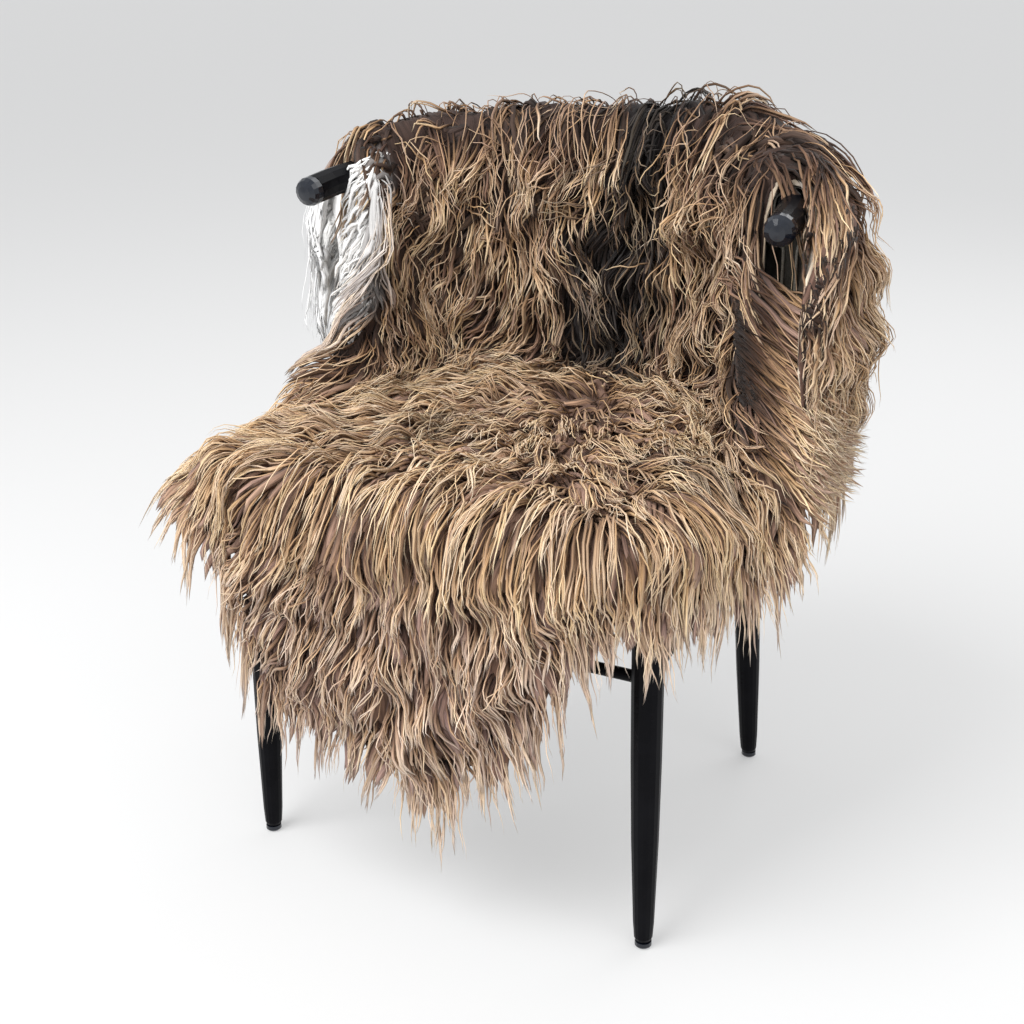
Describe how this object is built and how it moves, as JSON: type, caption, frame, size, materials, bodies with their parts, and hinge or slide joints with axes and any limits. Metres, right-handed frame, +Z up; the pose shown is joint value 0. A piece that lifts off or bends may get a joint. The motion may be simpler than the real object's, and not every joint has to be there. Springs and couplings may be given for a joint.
{
  "type": "sheepskin draped over a chair",
  "caption": "Long-haired brown sheepskin draped over a plain black chair: a tongue hangs in front, and the top goes over the back rail and falls behind.",
  "frame": {"origin": "on the floor, at the middle of the underside of the bounding box", "axes": "+Z up, +X to the right of someone who looks at the chair's front, and the front faces -Y"},
  "size_m": [0.7548, 0.6198, 0.8376],
  "materials": {
    "black_frame": "black satin paint",
    "black_cap": "smooth black",
    "dark_leather": "dark olive-brown, soft sheen",
    "seat_leather": "black, soft sheen",
    "brown_wool": "long wavy brown wool with golden tips"
  },
  "bodies": {
    "root": {"apron_front": "black_frame", "apron_left": "black_frame", "apron_rear": "black_frame", "apron_right": "black_frame", "back_pad": "dark_leather", "back_rail": "black_frame", "glide_front_left": "black_cap", "glide_front_right": "black_cap", "glide_rear_left": "black_cap", "glide_rear_right": "black_cap", "leg_front_left": "black_frame", "leg_front_right": "black_frame", "leg_rear_left": "black_frame", "leg_rear_right": "black_frame", "rail_cap_left": "black_cap", "rail_cap_right": "black_cap", "rim_wool_back_left": "brown_wool", "rim_wool_back_left_inner": "brown_wool", "rim_wool_back_middle": "brown_wool", "rim_wool_back_right": "brown_wool", "rim_wool_back_right_inner": "brown_wool", "rim_wool_front": "brown_wool", "rim_wool_front_left": "brown_wool", "rim_wool_front_right": "brown_wool", "rim_wool_front_tip": "brown_wool", "rim_wool_left_corner": "brown_wool", "rim_wool_left_side": "brown_wool", "rim_wool_right_corner": "brown_wool", "rim_wool_right_notch": "brown_wool", "rim_wool_right_side": "brown_wool", "seat": "seat_leather", "sheepskin": "brown_wool", "stretcher_front": "black_frame", "stretcher_left": "black_frame", "stretcher_right": "black_frame"}
  },
  "joints": []
}
